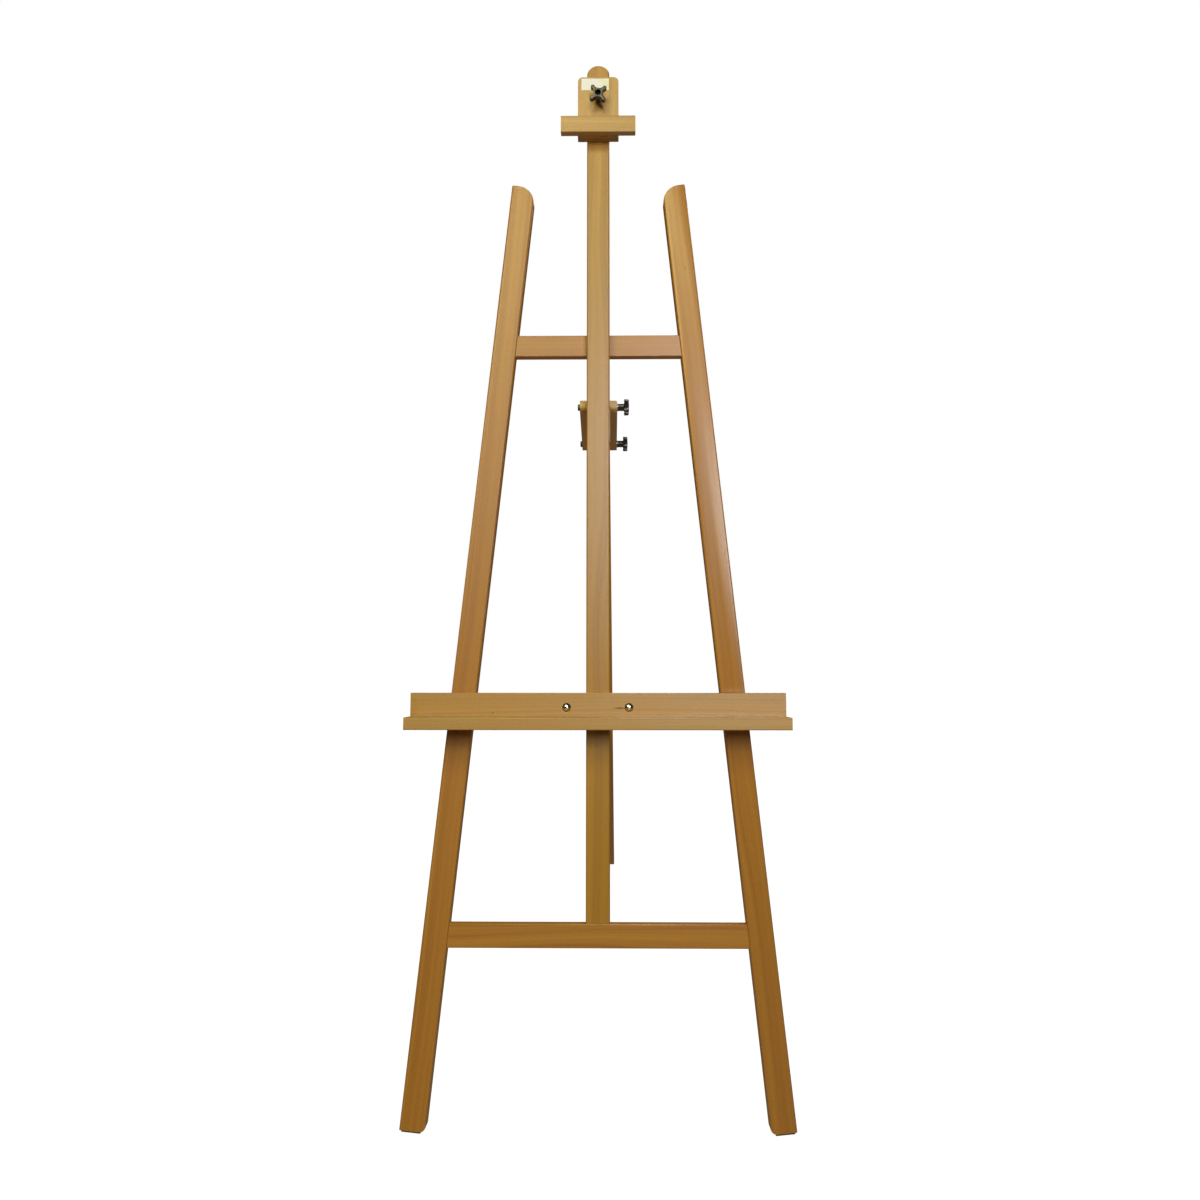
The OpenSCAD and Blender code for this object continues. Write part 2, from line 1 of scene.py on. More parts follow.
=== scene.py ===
"""Looks of the studio easel: lacquered beech, black star knobs, plated steel, rubber feet and a blank paper
label, in a plain white studio. Everything is in metres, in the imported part's own frame."""
import json
import math

import bmesh
import bpy
import numpy as np
from mathutils import Matrix, Vector

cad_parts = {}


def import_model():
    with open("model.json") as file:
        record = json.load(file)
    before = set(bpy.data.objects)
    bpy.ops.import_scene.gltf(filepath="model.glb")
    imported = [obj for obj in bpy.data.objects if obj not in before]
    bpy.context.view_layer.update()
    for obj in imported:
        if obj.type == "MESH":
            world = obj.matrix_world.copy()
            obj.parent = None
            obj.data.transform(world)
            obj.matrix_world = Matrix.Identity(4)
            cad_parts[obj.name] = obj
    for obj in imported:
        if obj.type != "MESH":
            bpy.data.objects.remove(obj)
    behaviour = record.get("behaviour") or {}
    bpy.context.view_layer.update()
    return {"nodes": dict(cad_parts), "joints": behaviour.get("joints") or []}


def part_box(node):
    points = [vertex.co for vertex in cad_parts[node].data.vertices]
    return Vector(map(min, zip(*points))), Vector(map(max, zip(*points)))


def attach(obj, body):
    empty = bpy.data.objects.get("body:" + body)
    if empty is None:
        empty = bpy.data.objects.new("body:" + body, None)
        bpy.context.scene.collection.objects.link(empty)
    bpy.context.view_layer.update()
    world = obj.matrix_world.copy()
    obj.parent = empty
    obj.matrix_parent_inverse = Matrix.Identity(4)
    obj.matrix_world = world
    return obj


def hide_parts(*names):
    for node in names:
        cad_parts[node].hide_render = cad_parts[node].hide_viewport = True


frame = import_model()
nodes = frame["nodes"]
joints = {joint["name"]: joint for joint in frame["joints"]}
MM = 0.001


# ---- Directions and places, from the frame ----

def centre(node):
    """Middle of a CAD node's box."""
    low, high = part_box(node)
    return (low + high) / 2


def long_axis(node):
    """Unit vector along a bar, from the middle of its low end to the middle of its high end."""
    points = np.array([v.co for v in nodes[node].data.vertices])
    spread = points - points.mean(0)
    axis = np.linalg.svd(spread, full_matrices=False)[2][0]
    along = spread @ axis
    reach = 0.12 * (along.max() - along.min())
    low_end = points[along < along.min() + reach]
    high_end = points[along > along.max() - reach]
    low_middle = (low_end.min(0) + low_end.max(0)) / 2
    high_middle = (high_end.min(0) + high_end.max(0)) / 2
    return Vector(high_middle - low_middle).normalized()


ACROSS = Vector((1, 0, 0))
MAST_UP = Vector(joints["tray_slide"]["axis"]).normalized()
FRAME_UP = (centre("upper_crossbar") - centre("lower_crossbar")).normalized()
ARM_PIVOT = Vector(joints["arm_fold"]["pos_m"])
LEG_PIVOT = Vector(joints["rear_leg_fold"]["pos_m"])
ARM_ALONG = (LEG_PIVOT - ARM_PIVOT).normalized()


def axes_from(along, side=ACROSS):
    """Rotation whose Z is the grain, X across the piece and Y through it."""
    z = along.normalized()
    y = z.cross(side).normalized()
    return Matrix((y.cross(z), y, z)).transposed()


# ---- Node trees ----

class Graph:
    """Adds nodes to a tree and joins them."""

    def __init__(self, tree):
        self.tree = tree

    def add(self, kind, **settings):
        node = self.tree.nodes.new("ShaderNode" + kind)
        for name, value in settings.items():
            setattr(node, name, value)
        return node

    def join(self, source, target):
        self.tree.links.new(source, target)

    def feed(self, socket, value):
        """Links a socket to another one, or sets its value."""
        if isinstance(value, bpy.types.NodeSocket):
            self.join(value, socket)
        else:
            socket.default_value = value

    def set(self, node, **values):
        for name, value in values.items():
            self.feed(node.inputs[name], value)

    def math(self, operation, *values, clamp=False):
        node = self.add("Math", operation=operation, use_clamp=clamp)
        for socket, value in zip(node.inputs, values):
            self.feed(socket, value)
        return node.outputs[0]

    def vector(self, operation, *values):
        node = self.add("VectorMath", operation=operation)
        for socket, value in zip(node.inputs, values):
            self.feed(socket, value)
        return node.outputs["Value" if operation in ("LENGTH", "DOT_PRODUCT") else "Vector"]

    def noise(self, vector, scale, detail=2.0, roughness=0.5):
        """3D noise of a point that is first stretched by scale, one number for each axis."""
        stretched = self.vector("MULTIPLY", vector, scale)
        node = self.add("TexNoise")
        self.set(node, Vector=stretched, Scale=1.0, Detail=detail, Roughness=roughness)
        return node

    def lines(self, value, scale, detail=2.0, roughness=0.5):
        """Noise that changes with one number only."""
        node = self.add("TexNoise", noise_dimensions="1D")
        self.set(node, W=value, Scale=scale, Detail=detail, Roughness=roughness)
        return node.outputs["Fac"]

    def remap(self, value, from_low, from_high, to_low=0.0, to_high=1.0, smooth=False):
        node = self.add("MapRange", interpolation_type="SMOOTHSTEP" if smooth else "LINEAR")
        for socket, number in zip(node.inputs, (value, from_low, from_high, to_low, to_high)):
            self.feed(socket, number)
        return node.outputs[0]

    def mix(self, factor, a, b, blend="MIX"):
        node = self.add("Mix", data_type="RGBA", blend_type=blend)
        for socket, value in ((node.inputs[0], factor), (node.inputs[6], a), (node.inputs[7], b)):
            self.feed(socket, (*value, 1.0) if isinstance(value, tuple) else value)
        return node.outputs[2]

    def ramp(self, factor, stops):
        node = self.add("ValToRGB")
        self.join(factor, node.inputs[0])
        elements = node.color_ramp.elements
        while len(elements) < len(stops):
            elements.new(0.5)
        for element, (place, colour) in zip(elements, stops):
            element.position = place
            element.color = (*colour, 1.0)
        return node.outputs[0]

    def bump(self, height, distance, strength=1.0):
        node = self.add("Bump")
        self.set(node, Height=height, Distance=distance, Strength=strength)
        return node.outputs[0]


def new_material(name):
    """A material with an empty graph, and its Principled shader."""
    material = bpy.data.materials.new(name)
    material.use_nodes = True
    graph = Graph(material.node_tree)
    shader = material.node_tree.nodes["Principled BSDF"]
    return material, graph, shader


def dress(material, *names):
    """Gives CAD nodes a material."""
    for name in names:
        for slot in nodes[name].material_slots:
            slot.material = material


# ---- Beech ----

def make_figure():
    """Node group: what beech shows at a point given in metres, with the grain along Z.
    Tone is the growth rings and streaks, Fleck the short dark rays, Height the open grain."""
    tree = bpy.data.node_groups.new("beech_figure", "ShaderNodeTree")
    tree.interface.new_socket("Vector", in_out="INPUT", socket_type="NodeSocketVector")
    for name in ("Tone", "Fleck", "Blush", "Height"):
        tree.interface.new_socket(name, in_out="OUTPUT", socket_type="NodeSocketFloat")
    g = Graph(tree)
    point = tree.nodes.new("NodeGroupInput").outputs[0]
    out = tree.nodes.new("NodeGroupOutput")

    wander = g.noise(point, (8.0, 8.0, 1.1), detail=2.0).outputs["Color"]
    wander = g.vector("SUBTRACT", wander, (0.5, 0.5, 0.5))
    wander = g.vector("MULTIPLY", wander, (0.03, 0.03, 0.0))
    bent = g.vector("ADD", point, wander)
    radius = g.vector("LENGTH", g.vector("MULTIPLY", bent, (1.0, 1.0, 0.0)))
    rings = g.lines(radius, 260.0, detail=3.0, roughness=0.6)
    fine_rings = g.lines(radius, 1100.0, detail=1.0)
    streaks = g.noise(bent, (70.0, 70.0, 1.3), detail=3.0).outputs["Fac"]
    blush = g.noise(point, (9.0, 9.0, 2.2), detail=2.0).outputs["Fac"]
    tone = g.math("MULTIPLY_ADD", rings, 0.42, g.math("MULTIPLY", streaks, 0.38))
    tone = g.math("MULTIPLY_ADD", fine_rings, 0.2, tone)

    cells = g.add("TexVoronoi", feature="F1")
    g.set(cells, Vector=g.vector("MULTIPLY", bent, (820.0, 820.0, 210.0)), Scale=1.0)
    fleck = g.remap(cells.outputs["Distance"], 0.34, 0.18, smooth=True)
    chosen = g.add("SeparateColor")
    g.join(cells.outputs["Color"], chosen.inputs[0])
    fleck = g.math("MULTIPLY", fleck, g.remap(chosen.outputs[0], 0.25, 0.9))
    pores = g.noise(point, (2600.0, 2600.0, 160.0), detail=1.0).outputs["Fac"]

    g.join(g.remap(tone, 0.36, 0.64), out.inputs["Tone"])
    g.join(fleck, out.inputs["Fleck"])
    g.join(g.remap(blush, 0.35, 0.65), out.inputs["Blush"])
    height = g.math("MULTIPLY_ADD", fleck, -0.6, g.math("MULTIPLY", pores, 0.5))
    g.join(g.math("MULTIPLY_ADD", fine_rings, 0.3, height), out.inputs["Height"])
    return tree


FIGURE = make_figure()

# Dark, middle and light tones of the three kinds of timber, and the colour it blushes to
LEG_TONES = ((0.37, 0.150, 0.022), (0.48, 0.212, 0.033), (0.56, 0.270, 0.046), (0.50, 0.190, 0.026))
MAST_TONES = ((0.37, 0.18, 0.020), (0.46, 0.230, 0.026), (0.53, 0.285, 0.038), (0.48, 0.210, 0.023))
FITTING_TONES = ((0.43, 0.24, 0.068), (0.53, 0.305, 0.090), (0.60, 0.360, 0.115), (0.56, 0.285, 0.075))
FLECK_COLOUR = (0.19, 0.062, 0.010)
SPOT_COLOUR = (0.09, 0.022, 0.004)


def beech(name, along, tones, pith, side=ACROSS, spots=(), ends=(0.80, 0.74, 0.68)):
    """Lacquered beech with its grain along a direction. pith is where the heart of the tree lies beside
    the piece, across it and through it. Each spot is a small knot or check: its middle, half its length
    along the grain, half its width, and how dark it is. ends multiplies the colour of the end grain."""
    material, g, shader = new_material(name)
    place = g.add("TexCoord")
    turn = g.add("Mapping", vector_type="POINT")
    turn.inputs["Rotation"].default_value = axes_from(along, side).transposed().to_euler()
    turn.inputs["Location"].default_value = (*pith, 0.37 * len(name))
    g.join(place.outputs["Object"], turn.inputs["Vector"])
    figure = g.add("Group", node_tree=FIGURE)
    g.join(turn.outputs[0], figure.inputs[0])

    dark, middle, light, blush = tones
    colour = g.ramp(figure.outputs["Tone"], ((0.0, dark), (0.5, middle), (1.0, light)))
    colour = g.mix(g.math("MULTIPLY", figure.outputs["Blush"], 0.45), colour, blush)
    colour = g.mix(g.math("MULTIPLY", figure.outputs["Fleck"], 0.42), colour, FLECK_COLOUR)

    facing = g.vector("DOT_PRODUCT", place.outputs["Normal"], tuple(along.normalized()))
    end_grain = g.remap(g.math("ABSOLUTE", facing), 0.55, 0.95, smooth=True)
    # ends below one tints the end grain darker; the link arms' multiplier above one is painted light on their
    # rounded ends
    colour = g.mix(end_grain, colour, ends, blend="MULTIPLY")

    for middle_at, half_length, half_width, darkness in spots:
        offset = g.vector("SUBTRACT", place.outputs["Object"], tuple(middle_at))
        turned = g.add("Mapping", vector_type="POINT")
        turned.inputs["Rotation"].default_value = axes_from(along, side).transposed().to_euler()
        g.join(offset, turned.inputs["Vector"])
        scaled = g.vector("DIVIDE", turned.outputs[0], (half_width, half_width, half_length))
        edge = g.remap(g.vector("LENGTH", scaled), 1.25, 0.35, smooth=True)
        colour = g.mix(g.math("MULTIPLY", edge, darkness), colour, SPOT_COLOUR)

    g.join(colour, shader.inputs["Base Color"])
    rough = g.remap(figure.outputs["Tone"], 0.0, 1.0, 0.36, 0.28)
    rough = g.math("MULTIPLY_ADD", figure.outputs["Fleck"], 0.12, rough)
    rough = g.math("MULTIPLY_ADD", end_grain, 0.25, rough)
    g.join(rough, shader.inputs["Roughness"])
    g.join(g.bump(figure.outputs["Height"], 0.00012, 0.6), shader.inputs["Normal"])
    shader.inputs["IOR"].default_value = 1.5
    shader.inputs["Specular IOR Level"].default_value = 0.75
    return material


RIGHT_LEG_ALONG = long_axis("right_leg")
LEFT_LEG_ALONG = long_axis("left_leg")
REAR_LEG_ALONG = long_axis("rear_leg")
FRAME_FRONT = ACROSS.cross(FRAME_UP)
MAST_FRONT = ACROSS.cross(MAST_UP)

# A small knot high on the right leg, a check beside the right tray bolt and a dark mark on the left
# of the tray board
leg_face = centre("right_leg") + FRAME_FRONT * 10 * MM
LEG_KNOT = (leg_face + RIGHT_LEG_ALONG * 586 * MM + ACROSS * 2 * MM, 3.5 * MM, 1.3 * MM, 0.75)
board_face = centre("tray_board") + MAST_FRONT * 8 * MM
BOARD_CHECK = (board_face + ACROSS * 33 * MM + MAST_UP * 4 * MM, 10 * MM, 1.0 * MM, 1.0)
BOARD_MARK = (board_face - ACROSS * 157 * MM - MAST_UP * 3 * MM, 2.0 * MM, 1.0 * MM, 0.6)

# Painted light: the link arms' rounded ends are coloured lighter than their sides, standing in for the light
# they catch
ARM_ENDS_PAINTED_LIGHT = (1.5, 1.8, 2.8)

dress(beech("beech_left_leg", LEFT_LEG_ALONG, LEG_TONES, (0.020, 0.075)), "left_leg")
dress(beech("beech_right_leg", RIGHT_LEG_ALONG, LEG_TONES, (-0.05, 0.06), spots=(LEG_KNOT,)),
      "right_leg")
dress(beech("beech_rear_leg", REAR_LEG_ALONG, LEG_TONES, (0.03, -0.08)), "rear_leg")
dress(beech("beech_upper_crossbar", ACROSS, LEG_TONES, (0.05, 0.07), side=FRAME_UP), "upper_crossbar")
dress(beech("beech_lower_crossbar", ACROSS, LEG_TONES, (-0.03, 0.09), side=FRAME_UP), "lower_crossbar")
dress(beech("beech_mast", MAST_UP, MAST_TONES, (0.07, 0.03)), "mast")
dress(beech("beech_hinge_block", MAST_UP, MAST_TONES, (-0.04, 0.06)), "hinge_block")
dress(beech("beech_dowel", ACROSS, MAST_TONES, (0.04, 0.04), side=FRAME_UP), "crossbar_dowels")
dress(beech("beech_mast_dowel", FRAME_UP, MAST_TONES, (0.04, 0.04)), "mast_dowel")
dress(beech("beech_left_arm", ARM_ALONG, FITTING_TONES, (0.06, 0.05), ends=ARM_ENDS_PAINTED_LIGHT), "left_arm")
dress(beech("beech_right_arm", ARM_ALONG, FITTING_TONES, (-0.07, 0.04), ends=ARM_ENDS_PAINTED_LIGHT),
      "right_arm")
dress(beech("beech_tray_board", ACROSS, FITTING_TONES, (0.02, 0.10), side=MAST_UP,
            spots=(BOARD_CHECK, BOARD_MARK)), "tray_board")
dress(beech("beech_tray_ledge", ACROSS, FITTING_TONES, (0.09, 0.03), side=MAST_UP), "tray_ledge")
dress(beech("beech_clamp_strip", ACROSS, FITTING_TONES, (-0.05, 0.05), side=MAST_UP), "tray_clamp_strip")
dress(beech("beech_holder_bar", ACROSS, FITTING_TONES, (0.08, 0.02), side=MAST_UP), "holder_bar")
dress(beech("beech_holder_plate", MAST_UP, FITTING_TONES, (0.05, 0.08)), "holder_plate")
dress(beech("beech_holder_back", MAST_UP, FITTING_TONES, (-0.05, 0.07)), "holder_guides", "holder_back_plate")


# ---- Metal, plastic, rubber and paper ----

def plated(name, colour, roughness, mottle):
    """Plated steel or brass: fine scratches and a mottled shine."""
    material, g, shader = new_material(name)
    place = g.add("TexCoord").outputs["Object"]
    patches = g.noise(place, (350.0, 350.0, 350.0), detail=4.0, roughness=0.65).outputs["Fac"]
    scratches = g.noise(place, (5200.0, 700.0, 5200.0), detail=2.0).outputs["Fac"]
    dull = tuple(0.72 * part for part in colour)
    g.join(g.mix(g.remap(patches, 0.35, 0.7), colour, dull), shader.inputs["Base Color"])
    rough = g.remap(patches, 0.3, 0.7, roughness, roughness + mottle)
    g.join(rough, shader.inputs["Roughness"])
    g.join(g.bump(scratches, 0.00002, 0.5), shader.inputs["Normal"])
    shader.inputs["Metallic"].default_value = 1.0
    return material


def moulded(name, colour, roughness, grain, depth, shine=0.5):
    """Moulded plastic or rubber with a fine surface grain."""
    material, g, shader = new_material(name)
    shader.inputs["Specular IOR Level"].default_value = shine
    place = g.add("TexCoord").outputs["Object"]
    fine = g.noise(place, (grain, grain, grain), detail=3.0, roughness=0.6).outputs["Fac"]
    broad = g.noise(place, (120.0, 120.0, 120.0), detail=2.0).outputs["Fac"]
    worn = tuple(min(1.0, 2.1 * part + 0.004) for part in colour)
    g.join(g.mix(g.remap(broad, 0.4, 0.75), colour, worn), shader.inputs["Base Color"])
    g.join(g.remap(fine, 0.3, 0.7, roughness, roughness + 0.12), shader.inputs["Roughness"])
    g.join(g.bump(fine, depth, 0.7), shader.inputs["Normal"])
    return material


def paper():
    """Blank label: off-white paper, more yellow towards its right side."""
    material, g, shader = new_material("label_paper")
    place = g.add("TexCoord").outputs["Object"]
    fibres = g.noise(place, (1500.0, 1500.0, 500.0), detail=4.0, roughness=0.7).outputs["Fac"]
    yellow_patches = g.noise(place, (60.0, 60.0, 90.0), detail=3.0).outputs["Fac"]
    low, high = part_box("holder_label")
    split = g.add("SeparateXYZ")
    g.join(place, split.inputs[0])
    rightwards = g.remap(split.outputs["X"], low.x, high.x, -0.35, 0.6)
    yellow = g.math("ADD", rightwards, g.remap(yellow_patches, 0.35, 0.65, -0.25, 0.25), clamp=True)
    colour = g.mix(yellow, (0.98, 0.98, 1.0), (0.96, 0.90, 0.56))
    colour = g.mix(g.remap(fibres, 0.4, 0.75, 0.0, 0.2), colour, (0.82, 0.76, 0.56))
    g.join(colour, shader.inputs["Base Color"])
    g.join(g.remap(fibres, 0.3, 0.7, 0.45, 0.6), shader.inputs["Roughness"])
    g.join(g.bump(fibres, 0.00003, 0.5), shader.inputs["Normal"])
    return material


BRIGHT_STEEL = plated("bright_steel", (0.82, 0.78, 0.72), 0.10, 0.10)
DULL_STEEL = plated("dull_steel", (0.48, 0.47, 0.44), 0.30, 0.15)
DARK_STEEL = plated("black_steel", (0.10, 0.098, 0.095), 0.32, 0.15)
BRASS = plated("brass", (0.72, 0.53, 0.22), 0.22, 0.15)
BLACK_PLASTIC = moulded("black_plastic", (0.012, 0.010, 0.010), 0.20, 2600.0, 0.00001, shine=1.0)
# Painted shade: near-black, matt and almost unreflecting, put on the walls and floor of the knobs' hub holes
# where there is only shade
HOLE_PAINTED_SHADE = moulded("hole_painted_shade", (0.004, 0.003, 0.003), 0.70, 2600.0, 0.00002, shine=0.1)
RUBBER = moulded("pad_rubber", (0.018, 0.016, 0.015), 0.72, 1700.0, 0.00006)

dress(BRIGHT_STEEL, "tray_bolts")
dress(DULL_STEEL, "mast_screws", "hinge_block_screws", "tray_screws", "holder_bar_screws",
      "holder_back_screws", "pivot_washers", "tray_washers", "holder_clamp_screw",
      "upper_knob_insert", "lower_knob_insert", "left_tray_knob_insert", "right_tray_knob_insert")
dress(DARK_STEEL, "upper_pivot_bolt", "lower_pivot_bolt")
dress(BRASS, "holder_insert")
dress(RUBBER, "left_foot_pad", "right_foot_pad", "rear_foot_pad")
dress(paper(), "holder_label")


# ---- Star knobs ----

KNOB_R = 16.5 * MM
LOBE_R = 3.0 * MM
WAIST_R = 7.4 * MM
NECK_R = 5.75 * MM
RIM_R = 6.8 * MM
HUB_HOLE_R = 4.6 * MM
NECK_H = 10.0 * MM
HEAD_TOP = 17.4 * MM
RIM_TOP = 17.8 * MM
HUB_FLOOR = 12.4 * MM
POCKET_D = 11.0 * MM


def quarter_circle(steps):
    """Sine and cosine of evenly spaced angles from 0 to 90 degrees."""
    return [(math.sin(i / steps * math.pi / 2), math.cos(i / steps * math.pi / 2)) for i in range(steps + 1)]


def knob_outline(scoop_steps=14, lobe_steps=16):
    """Points and outward normals round a knob's head: scoops on the axes, round lobes on the diagonals."""
    diagonal = (KNOB_R - LOBE_R) / math.sqrt(2)
    hollow = WAIST_R - LOBE_R
    scoop_at = (2 * diagonal ** 2 - hollow ** 2) / (2 * (diagonal - hollow))
    scoop_r = scoop_at - WAIST_R
    reach = math.atan2(diagonal, diagonal - scoop_at)
    points, normals = [], []
    for quarter in range(4):
        turn = Matrix.Rotation(quarter * math.pi / 2, 2)
        for i in range(scoop_steps):
            a = math.pi + (math.pi - reach) * (1 - 2 * i / scoop_steps)
            inwards = Vector((math.cos(a), math.sin(a)))
            points.append(turn @ (Vector((scoop_at, 0)) + inwards * scoop_r))
            normals.append(turn @ -inwards)
        for i in range(lobe_steps):
            a = math.pi / 4 + 2 * (math.pi * 5 / 4 - reach) * (i / lobe_steps - 0.5)
            outwards = Vector((math.cos(a), math.sin(a)))
            points.append(turn @ (Vector((diagonal, diagonal)) + outwards * LOBE_R))
            normals.append(turn @ outwards)
    return points, normals


def knob_mesh(name, pocket_r):
    """Moulded knob standing on its neck at the origin, its head towards +Z: full-round fingers that run into
    a hub, a raised rim round a blind hole, and a pocket in the neck."""
    points, normals = knob_outline()
    angles = [math.atan2(point.y, point.x) % (2 * math.pi) for point in points]
    start = angles[0] - 2 * math.pi if angles[0] > math.pi else angles[0]
    unwrapped = [start]
    for angle in angles[1:]:
        if angle < start - 0.1:
            angle += 2 * math.pi
        if angle - unwrapped[-1] > math.pi:
            angle -= 2 * math.pi
        unwrapped.append(max(angle, unwrapped[-1] + 0.001))
    made = bmesh.new()

    def ring(radius, z):
        return [made.verts.new((radius * math.cos(a), radius * math.sin(a), z)) for a in unwrapped]

    def star(inset, z):
        return [made.verts.new((*(point - normal * depth), z))
                for point, normal, depth in zip(points, normals, inset)]

    neck_round, back_round, rim_round, front_round = 1.0 * MM, 0.5 * MM, 0.4 * MM, 1.5 * MM
    front_inset = []
    for point in points:
        share = min(1.0, max(0.0, (point.length - WAIST_R) / (3.2 * MM)))
        share = share * share * (3 - 2 * share)
        front_inset.append(0.4 * MM + (front_round - 0.4 * MM) * share)
    loops = [ring(pocket_r, POCKET_D), ring(pocket_r, 0.0)]
    loops += [ring(NECK_R - rim_round * (1 - sine), rim_round * (1 - cosine))
              for sine, cosine in quarter_circle(3)]
    loops += [ring(NECK_R + neck_round * (1 - cosine), NECK_H - neck_round * (1 - sine))
              for sine, cosine in quarter_circle(4)]
    loops += [star([back_round * (1 - sine)] * len(points), NECK_H + back_round * (1 - cosine))
              for sine, cosine in quarter_circle(3)]
    loops += [star([depth * (1 - cosine) for depth in front_inset], HEAD_TOP - front_round * (1 - sine))
              for sine, cosine in quarter_circle(7)]
    loops.append(ring(RIM_R + 0.1 * MM, HEAD_TOP))
    loops += [ring(RIM_R - rim_round * (1 - cosine), RIM_TOP - rim_round * (1 - sine))
              for sine, cosine in quarter_circle(3)]
    loops += [ring(HUB_HOLE_R + rim_round * (1 - sine), RIM_TOP - rim_round * (1 - cosine))
              for sine, cosine in quarter_circle(3)]
    loops += [ring(HUB_HOLE_R - rim_round * (1 - cosine), HUB_FLOOR + rim_round * (1 - sine))
              for sine, cosine in quarter_circle(3)]
    for lower, upper in zip(loops, loops[1:]):
        for i in range(len(points)):
            j = (i + 1) % len(points)
            made.faces.new((lower[i], lower[j], upper[j], upper[i]))
    made.faces.new(loops[0])
    hole_floor = made.faces.new(loops[-1])
    # The hole's walls and floor take the second material, which is painted shade
    hole = {vertex for loop in loops[-5:] for vertex in loop}
    for face in made.faces:
        face.material_index = int(face == hole_floor or hole.issuperset(face.verts))
    bmesh.ops.recalc_face_normals(made, faces=made.faces)
    mesh = bpy.data.meshes.new(name)
    made.to_mesh(mesh)
    made.free()
    mesh.polygons.foreach_set("use_smooth", [True] * len(mesh.polygons))
    mesh.set_sharp_from_angle(angle=math.radians(50))
    mesh.materials.append(BLACK_PLASTIC)
    mesh.materials.append(HOLE_PAINTED_SHADE)
    return mesh


def moulded_knob(node, joint, body, pocket_r):
    """Stands a moulded knob where a CAD knob is, turned as that one is."""
    at = Vector(joints[joint]["pos_m"])
    axis = Vector(joints[joint]["axis"]).normalized()
    offsets = [v.co - at for v in nodes[node].data.vertices]
    wide = [(offset - axis * offset.dot(axis)).length for offset in offsets]
    far = [offset for offset, radius in zip(offsets, wide) if radius > 0.97 * max(wide)]
    along = [offset.dot(axis) for offset in offsets]
    if sum(offset.dot(axis) for offset in far) / len(far) < (min(along) + max(along)) / 2:
        axis = -axis
    base = at + axis * min(offset.dot(axis) for offset in offsets)
    side = axis.orthogonal().normalized()
    other = axis.cross(side)
    fourfold = [4 * math.atan2(offset.dot(other), offset.dot(side)) for offset in far]
    turn = math.atan2(sum(map(math.sin, fourfold)), sum(map(math.cos, fourfold))) / 4 - math.pi / 4
    x = side * math.cos(turn) + other * math.sin(turn)
    place = Matrix((x, axis.cross(x), axis)).transposed().to_4x4()
    place.translation = base
    name = "moulded_" + node
    mesh = knob_mesh(name, pocket_r)
    mesh.transform(place)
    piece = bpy.data.objects.new(name, mesh)
    bpy.context.scene.collection.objects.link(piece)
    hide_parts(node)
    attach(piece, body)


BUSH_R = 4.0 * MM
CLAMP_SCREW_R = 3.0 * MM
for knob_node, knob_joint, knob_body, knob_pocket in (
        ("upper_arm_knob", "upper_knob_turn", "upper_knob", BUSH_R),
        ("lower_arm_knob", "lower_knob_turn", "lower_knob", BUSH_R),
        ("left_tray_knob", "left_tray_knob_turn", "tray_knob_left", BUSH_R),
        ("right_tray_knob", "right_tray_knob_turn", "tray_knob_right", BUSH_R),
        ("holder_knob", "clamp_knob_turn", "clamp_knob", CLAMP_SCREW_R)):
    moulded_knob(knob_node, knob_joint, knob_body, knob_pocket)


# ---- Eased edges ----

def ease(width, *names, segments=2):
    """Joins a CAD mesh's split corners and rounds its sharp edges a little."""
    for name in names:
        piece = nodes[name]
        weld = piece.modifiers.new("weld", "WELD")
        weld.merge_threshold = 0.01 * MM
        flat = piece.modifiers.new("flat", "DECIMATE")
        flat.decimate_type = "DISSOLVE"
        flat.angle_limit = math.radians(0.5)
        bevel = piece.modifiers.new("eased", "BEVEL")
        bevel.width = width
        bevel.segments = segments
        bevel.limit_method = "ANGLE"
        bevel.angle_limit = math.radians(40)
        bevel.harden_normals = True


ease(0.8 * MM, "left_leg", "right_leg", "rear_leg", "upper_crossbar", "lower_crossbar", "mast",
     "tray_board", "tray_clamp_strip", "holder_plate", "holder_guides", "holder_back_plate", "hinge_block")
ease(1.2 * MM, "tray_ledge", "holder_bar")
ease(1.8 * MM, "left_arm", "right_arm", segments=3)


# ---- Studio ----

def aim(obj, target):
    """Turns a light so that it shines at a point."""
    obj.rotation_mode = "QUATERNION"
    obj.rotation_quaternion = (Vector(target) - obj.location).to_track_quat("-Z", "Y")


def softbox(name, target, azimuth, elevation, distance, width, height, power, colour):
    """Rectangular light seen from its target at an azimuth (0 towards the camera, positive right)."""
    data = bpy.data.lights.new(name, "AREA")
    data.shape = "RECTANGLE"
    data.size, data.size_y = width, height
    data.energy, data.color = power, colour
    light = bpy.data.objects.new(name, data)
    bpy.context.scene.collection.objects.link(light)
    a, e = math.radians(azimuth), math.radians(elevation)
    away = Vector((math.sin(a) * math.cos(e), -math.cos(a) * math.cos(e), math.sin(e)))
    light.location = Vector(target) + away * distance
    aim(light, target)
    return light


def world():
    """White to the camera. As light it is dim, and warmer and stronger from the floor."""
    made = bpy.data.worlds.new("studio")
    bpy.context.scene.world = made
    made.use_nodes = True
    g = Graph(made.node_tree)
    made.node_tree.nodes.clear()
    split = g.add("SeparateXYZ")
    g.join(g.add("TexCoord").outputs["Generated"], split.inputs[0])
    light = g.ramp(g.remap(split.outputs["Z"], -1.0, 1.0),
                   ((0.0, (0.30, 0.24, 0.16)), (0.46, (0.08, 0.06, 0.04)), (0.54, (0.03, 0.03, 0.02))))
    seen = g.add("LightPath").outputs["Is Camera Ray"]
    background = g.add("Background")
    g.join(g.mix(seen, light, (1.0, 1.0, 1.0)), background.inputs["Color"])
    output = g.add("OutputWorld")
    g.join(background.outputs[0], output.inputs[0])


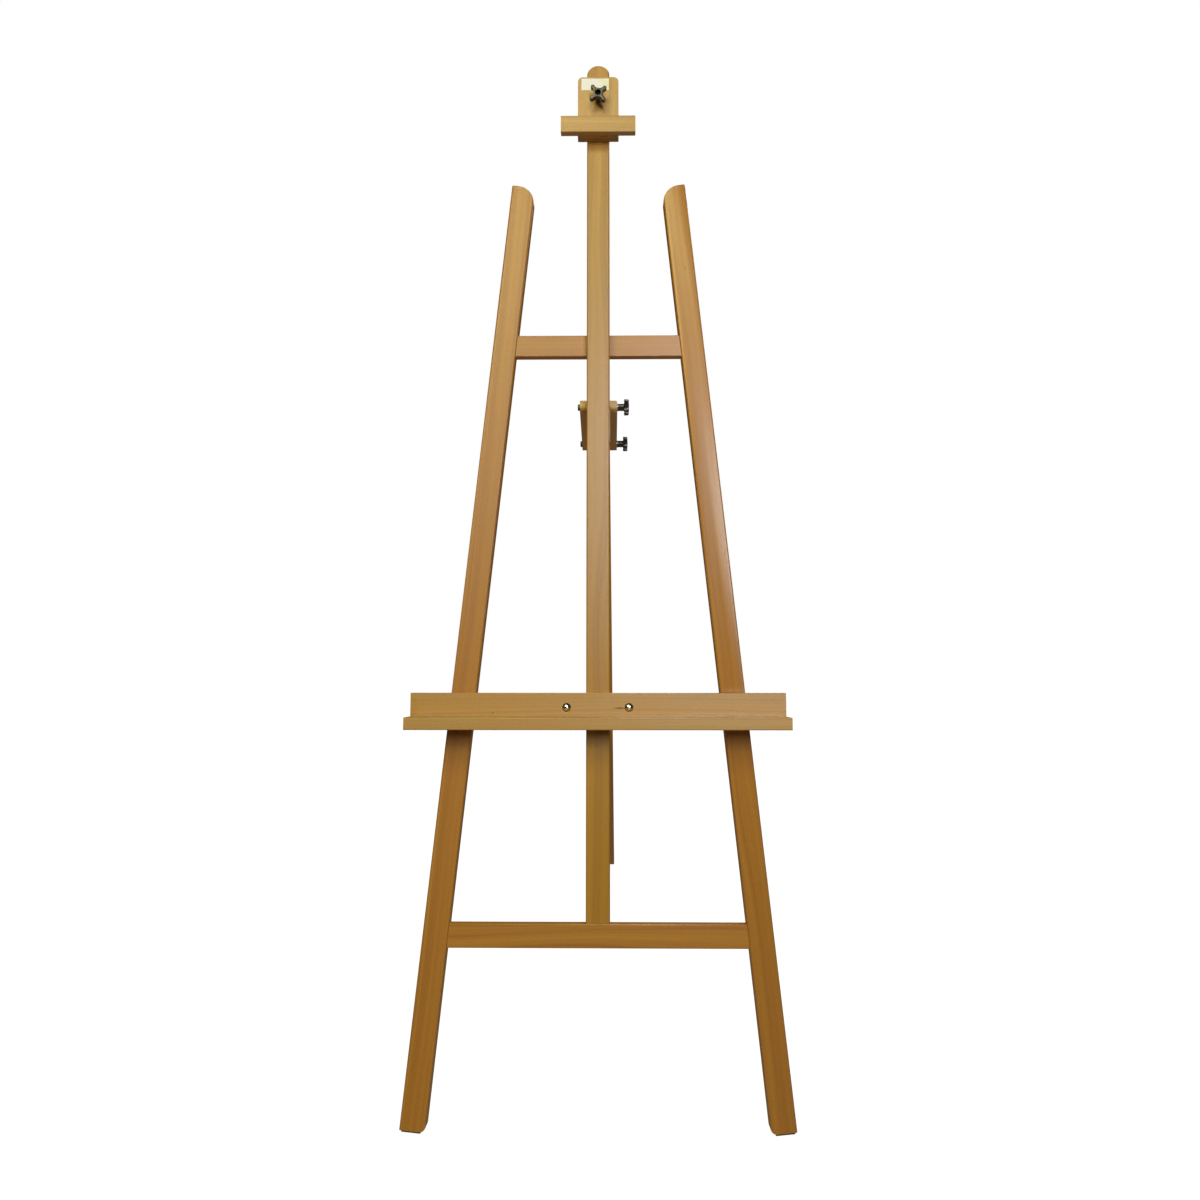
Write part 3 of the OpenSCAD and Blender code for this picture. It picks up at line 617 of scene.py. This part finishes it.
def floor():
    """Round pale floor that fades into the white background."""
    mesh = bpy.data.meshes.new("floor")
    obj = bpy.data.objects.new("floor", mesh)
    bpy.context.scene.collection.objects.link(obj)
    made = bmesh.new()
    bmesh.ops.create_circle(made, cap_ends=True, segments=128, radius=30.0)
    made.to_mesh(mesh)
    made.free()
    material, g, shader = new_material("floor")
    place = g.add("TexCoord").outputs["Object"]
    distance = g.vector("LENGTH", place)
    cloud = g.noise(place, (3.0, 3.0, 3.0), detail=3.0).outputs["Fac"]
    g.join(g.mix(cloud, (0.28, 0.29, 0.34), (0.32, 0.33, 0.38)), shader.inputs["Base Color"])
    shader.inputs["Roughness"].default_value = 0.9
    shader.inputs["Specular IOR Level"].default_value = 0.0
    shader.inputs["Emission Color"].default_value = (1.0, 1.0, 1.0, 1.0)
    shader.inputs["Emission Strength"].default_value = 0.90
    white = g.add("Emission")
    blend = g.add("MixShader")
    g.join(g.remap(distance, 0.9, 2.6, smooth=True), blend.inputs[0])
    g.join(shader.outputs[0], blend.inputs[1])
    g.join(white.outputs[0], blend.inputs[2])
    g.join(blend.outputs[0], material.node_tree.nodes["Material Output"].inputs[0])
    mesh.materials.append(material)
    obj.visible_diffuse = False
    obj.visible_glossy = False


MIDDLE = Vector((0.0, centre("mast").y, centre("mast").z))
AWAY = 4.5
softbox("key_light", MIDDLE, -30, 44, AWAY, 1.4, 2.4, 62.0, (1.0, 0.94, 0.46))
softbox("ceiling_light", MIDDLE, -10, 54, AWAY, 1.3, 1.3, 19.0, (1.0, 0.95, 0.50))
softbox("window_light", MIDDLE, 14, 29, AWAY, 1.3, 1.7, 90.0, (0.98, 1.0, 1.0))
softbox("back_light", MIDDLE, 160, 36, AWAY, 2.6, 2.0, 75.0, (1.0, 0.97, 0.88))
world()
floor()


# ---- Camera ----

CAMERA_AT = Vector((0.0193, -1.5277, 0.9877))
CAMERA_TURN = 0.709
CAMERA_DOWN = 10.33
CAMERA_ROLL = -0.174
LENS = 26.34

camera_data = bpy.data.cameras.new("camera")
camera_data.sensor_width = 36.0
camera_data.lens = LENS
camera = bpy.data.objects.new("camera", camera_data)
bpy.context.scene.collection.objects.link(camera)
camera.matrix_world = (
    Matrix.Translation(CAMERA_AT)
    @ Matrix.Rotation(math.radians(CAMERA_TURN), 4, "Z")
    @ Matrix.Rotation(math.radians(90 - CAMERA_DOWN), 4, "X")
    @ Matrix.Rotation(math.radians(CAMERA_ROLL), 4, "Z"))
bpy.context.scene.camera = camera
bpy.context.scene.view_settings.view_transform = "Standard"
bpy.context.scene.view_settings.look = "None"
